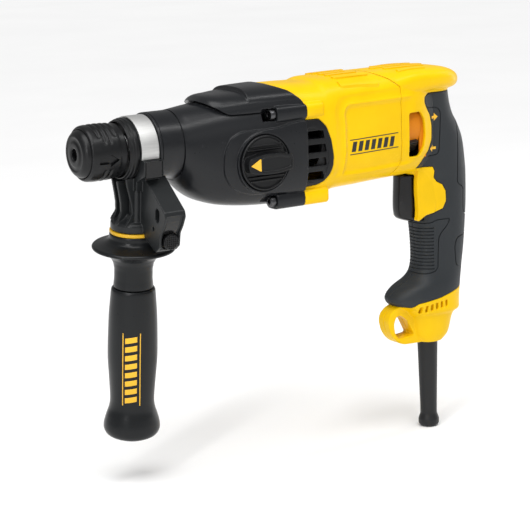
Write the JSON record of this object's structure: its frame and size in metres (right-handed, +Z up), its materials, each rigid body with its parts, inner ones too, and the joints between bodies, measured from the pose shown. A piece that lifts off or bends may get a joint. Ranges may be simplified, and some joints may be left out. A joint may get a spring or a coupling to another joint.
{
  "type": "rotary hammer",
  "caption": "Corded three-mode rotary hammer with pistol rear grip, quick-change tool holder, mode knob and a swivelling side handle with depth stop.",
  "frame": {"origin": "centre of the machine's footprint, level with the lower end of the cord guard", "axes": "+X back from the tool holder to the grip along the spindle, +Y to the far side from the mode knob, +Z up"},
  "size_m": [0.3642, 0.0977, 0.3117],
  "materials": {
    "housing_yellow": "moulded glass-filled nylon, satin gloss",
    "case_black": "black gear case, satin",
    "plastic_black": "black nylon, fine texture",
    "rubber_black": "soft overmould, fine texture",
    "band_steel": "light grey steel band",
    "screw_steel": "blackened steel",
    "ground_steel": "ground and hardened",
    "commutator_copper": "turned copper",
    "brush_carbon": "carbon",
    "plate_aluminium": "die cast",
    "pointer_yellow": "printed mark"
  },
  "bodies": {
    "machine": {"gear_case": "case_black", "case_screw_1": "screw_steel", "case_screw_2": "screw_steel", "case_screw_3": "screw_steel", "case_screw_4": "screw_steel", "vent_grille_left": "plastic_black", "vent_grille_right": "plastic_black", "motor_housing": "housing_yellow", "handle_shell_left": "housing_yellow", "handle_shell_right": "housing_yellow", "grip_rubber_left": "rubber_black", "grip_rubber_right": "rubber_black", "switch_module": "plastic_black", "cord_guard": "rubber_black", "handle_screw_1": "screw_steel", "handle_screw_2": "screw_steel", "handle_screw_3": "screw_steel", "stator_core": "screw_steel", "bearing_plate": "plate_aluminium", "rear_bearing_plate": "plastic_black", "spindle_bearing": "ground_steel", "spindle_seal": "rubber_black", "armature_front_bearing": "ground_steel", "armature_rear_bearing": "ground_steel", "countershaft_front_bearing": "ground_steel"},
    "spindle_group": {"spindle": "ground_steel", "spindle_gear": "ground_steel", "dust_cap": "rubber_black", "sleeve_ring": "plastic_black", "locking_ball_upper": "ground_steel", "locking_ball_lower": "ground_steel", "locking_spring": "ground_steel"},
    "lock_sleeve_body": {"lock_sleeve": "plastic_black"},
    "armature_group": {"armature_shaft": "ground_steel", "armature_core": "screw_steel", "commutator": "commutator_copper", "cooling_fan": "plastic_black"},
    "countershaft_group": {"countershaft": "ground_steel", "countershaft_gear": "ground_steel", "countershaft_pinion": "ground_steel", "wobble_hub": "ground_steel"},
    "clutch_body": {"clutch_sleeve": "ground_steel"},
    "wobble_body": {"wobble_plate": "ground_steel"},
    "piston_body": {"piston": "plate_aluminium"},
    "ram_body": {"ram": "ground_steel"},
    "beat_piece_body": {"beat_piece": "ground_steel"},
    "mode_knob_body": {"mode_knob": "plastic_black", "mode_pointer": "pointer_yellow"},
    "trigger_body": {"trigger": "plastic_black"},
    "brush_group": {"brush_ring": "plastic_black", "brush_left": "brush_carbon", "brush_right": "brush_carbon", "reverse_slider": "plastic_black"},
    "handle_clamp": {"clamp_band": "band_steel", "handle_bracket": "plastic_black"},
    "depth_button_body": {"depth_stop_button": "plastic_black"},
    "side_grip_body": {"side_grip_core": "plastic_black", "side_grip_rubber": "rubber_black", "collar_ring": "housing_yellow"},
    "draw_bolt_body": {"draw_bolt": "screw_steel"}
  },
  "joints": [
    {"name": "armature_spin", "type": "hinge", "parent": "machine", "child": "armature_group", "pos_m": [0.058, 0, 0.2654], "axis": [1, 0, 0], "continuous": true},
    {"name": "countershaft_spin", "type": "hinge", "parent": "machine", "child": "countershaft_group", "pos_m": [-0.042, 0, 0.2434], "axis": [1, 0, 0], "continuous": true},
    {"name": "spindle_spin", "type": "hinge", "parent": "machine", "child": "spindle_group", "pos_m": [-0.122, 0, 0.2714], "axis": [1, 0, 0], "continuous": true},
    {"name": "lock_sleeve_slide", "type": "slide", "parent": "spindle_group", "child": "lock_sleeve_body", "axis": [1, 0, 0], "range_m": [0, 0.006], "stiffness_N_per_m": 500, "springref_m": -0.004, "deforming": ["locking_spring"]},
    {"name": "clutch_slide", "type": "slide", "parent": "countershaft_group", "child": "clutch_body", "axis": [1, 0, 0], "range_m": [-0.0051, 0.0051]},
    {"name": "wobble_rock", "type": "hinge", "parent": "machine", "child": "wobble_body", "pos_m": [-0.027, 0, 0.2434], "axis": [0, 1, 0], "range_deg": [-17, 17]},
    {"name": "piston_slide", "type": "slide", "parent": "machine", "child": "piston_body", "axis": [1, 0, 0], "range_m": [-0.0095, 0.0095]},
    {"name": "ram_slide", "type": "slide", "parent": "machine", "child": "ram_body", "axis": [1, 0, 0], "range_m": [-0.004, 0.002]},
    {"name": "beat_piece_slide", "type": "slide", "parent": "machine", "child": "beat_piece_body", "axis": [1, 0, 0], "range_m": [-0.007, 0]},
    {"name": "mode_knob_turn", "type": "hinge", "parent": "machine", "child": "mode_knob_body", "pos_m": [-0.037, -0.038, 0.2534], "axis": [0, 1, 0], "range_deg": [-90, 90]},
    {"name": "trigger_press", "type": "slide", "parent": "machine", "child": "trigger_body", "axis": [1, 0, 0], "range_m": [0, 0.006], "stiffness_N_per_m": 600, "springref_m": -0.004},
    {"name": "reverse_turn", "type": "hinge", "parent": "machine", "child": "brush_group", "pos_m": [0.112, 0, 0.2654], "axis": [-1, 0, 0], "range_deg": [0, 46]},
    {"name": "side_handle_swivel", "type": "hinge", "parent": "machine", "child": "handle_clamp", "pos_m": [-0.13, 0, 0.2714], "axis": [1, 0, 0], "continuous": true},
    {"name": "depth_button_press", "type": "slide", "parent": "handle_clamp", "child": "depth_button_body", "axis": [0, 0.9925, 0.1219], "range_m": [0, 0.003], "stiffness_N_per_m": 500, "springref_m": -0.003},
    {"name": "side_grip_turn", "type": "hinge", "parent": "handle_clamp", "child": "side_grip_body", "pos_m": [-0.13, 0.01341, 0.16222], "axis": [0, 0.1219, -0.9925], "range_deg": [0, 720]},
    {"name": "draw_bolt_slide", "type": "slide", "parent": "handle_clamp", "child": "draw_bolt_body", "axis": [0, -0.1219, 0.9925], "range_m": [0, 0.0036]}
  ],
  "couplings": [
    {"joint": "countershaft_spin", "follows": "armature_spin", "ratio": -0.25},
    {"joint": "spindle_spin", "follows": "armature_spin", "ratio": 0.1},
    {"joint": "piston_slide", "follows": "wobble_rock", "m_per_rad": 0.0318},
    {"joint": "clutch_slide", "follows": "mode_knob_turn", "m_per_rad": 0.0032},
    {"joint": "draw_bolt_slide", "follows": "side_grip_turn", "m_per_rad": 0.00028}
  ]
}
